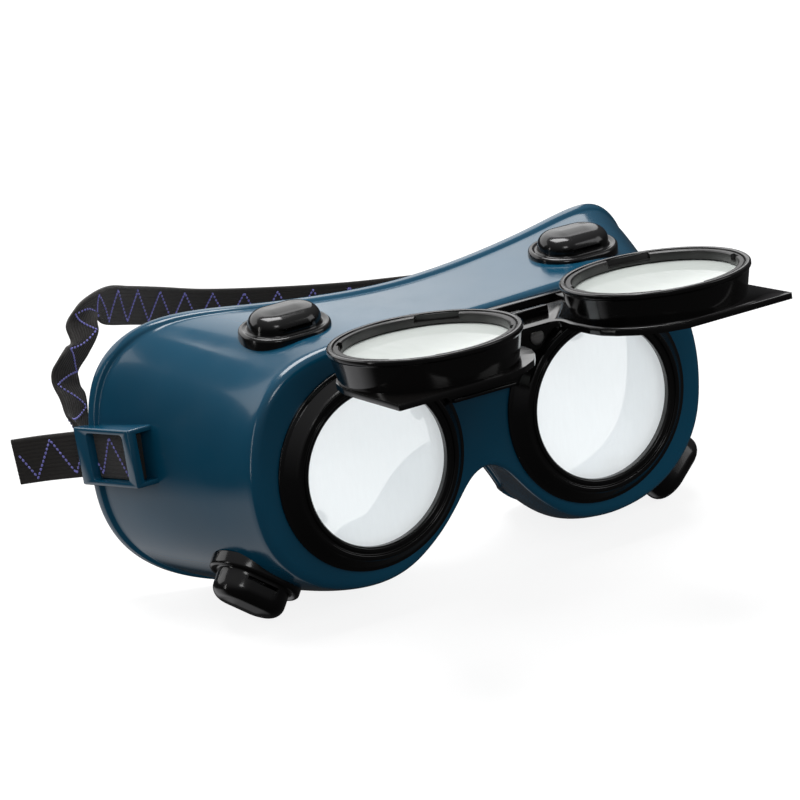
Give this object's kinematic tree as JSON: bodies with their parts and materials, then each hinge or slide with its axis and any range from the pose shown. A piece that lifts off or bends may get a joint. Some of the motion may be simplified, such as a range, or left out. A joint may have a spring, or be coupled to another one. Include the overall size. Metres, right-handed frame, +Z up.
{
  "type": "welding goggles",
  "caption": "Flexible blue cup-style welding goggles with a flip-up pair of round filter lenses over fixed clear lenses, vent caps and an elastic head strap.",
  "frame": {"origin": "centre of the bounding box on the surface the goggles rest on, with the filters raised", "axes": "+Z up, +Y from the lenses toward the back of the wearer's head, +X to the right of a viewer who looks at the lenses"},
  "size_m": [0.1992, 0.1944, 0.0986],
  "materials": {
    "shell_pvc": "glossy flexible PVC moulding",
    "frame_black": "polished black moulding",
    "ring_black": "polished black moulding",
    "vent_black": "glossy black moulding",
    "lens_clear": "clear polycarbonate disc",
    "lens_filter": "pale tinted polycarbonate disc",
    "gasket_rubber": "soft black rubber",
    "washer_fibre": "matt fibre washer",
    "steel": "bright plated steel",
    "strap_elastic": "ribbed elastic webbing with zigzag stitching"
  },
  "bodies": {
    "goggle": {"body_shell": "shell_pvc", "bracket_rivet_left": "steel", "bracket_rivet_right": "steel", "clear_lens_left": "lens_clear", "clear_lens_right": "lens_clear", "front_frame": "frame_black", "hinge_bracket": "frame_black", "hinge_pin": "steel", "hinge_spring": "steel", "lens_gasket_left": "gasket_rubber", "lens_gasket_right": "gasket_rubber", "strap": "strap_elastic", "vent_base_bottom_left": "vent_black", "vent_base_bottom_right": "vent_black", "vent_base_top_left": "vent_black", "vent_base_top_right": "vent_black", "vent_cap_bottom_left": "vent_black", "vent_cap_bottom_right": "vent_black", "vent_cap_top_left": "vent_black", "vent_cap_top_right": "vent_black"},
    "flip": {"flip_frame": "frame_black", "filter_lens_left": "lens_filter", "filter_lens_right": "lens_filter", "filter_washer_left": "washer_fibre", "filter_washer_right": "washer_fibre"},
    "filter_ring_left": {"filter_ring_left": "ring_black"},
    "filter_ring_right": {"filter_ring_right": "ring_black"},
    "lens_ring_left": {"lens_ring_left": "ring_black"},
    "lens_ring_right": {"lens_ring_right": "ring_black"}
  },
  "joints": [
    {"name": "flip_hinge", "type": "hinge", "parent": "goggle", "child": "flip", "pos_m": [0, -0.03808, 0.07692], "axis": [1, 0, 0], "range_deg": [-10, 92]},
    {"name": "filter_ring_left_turn", "type": "hinge", "parent": "flip", "child": "filter_ring_left", "pos_m": [-0.039, -0.068, 0.09273], "axis": [0, 0.1547, 0.988], "range_deg": [0, 60]},
    {"name": "filter_ring_right_turn", "type": "hinge", "parent": "flip", "child": "filter_ring_right", "pos_m": [0.039, -0.068, 0.09273], "axis": [0, 0.1547, 0.988], "range_deg": [0, 60]},
    {"name": "lens_ring_left_turn", "type": "hinge", "parent": "goggle", "child": "lens_ring_left", "pos_m": [-0.039, -0.03142, 0.04395], "axis": [0, 0.9936, -0.1132], "range_deg": [0, 60]},
    {"name": "lens_ring_right_turn", "type": "hinge", "parent": "goggle", "child": "lens_ring_right", "pos_m": [0.039, -0.03142, 0.04395], "axis": [0, 0.9936, -0.1132], "range_deg": [0, 60]}
  ]
}
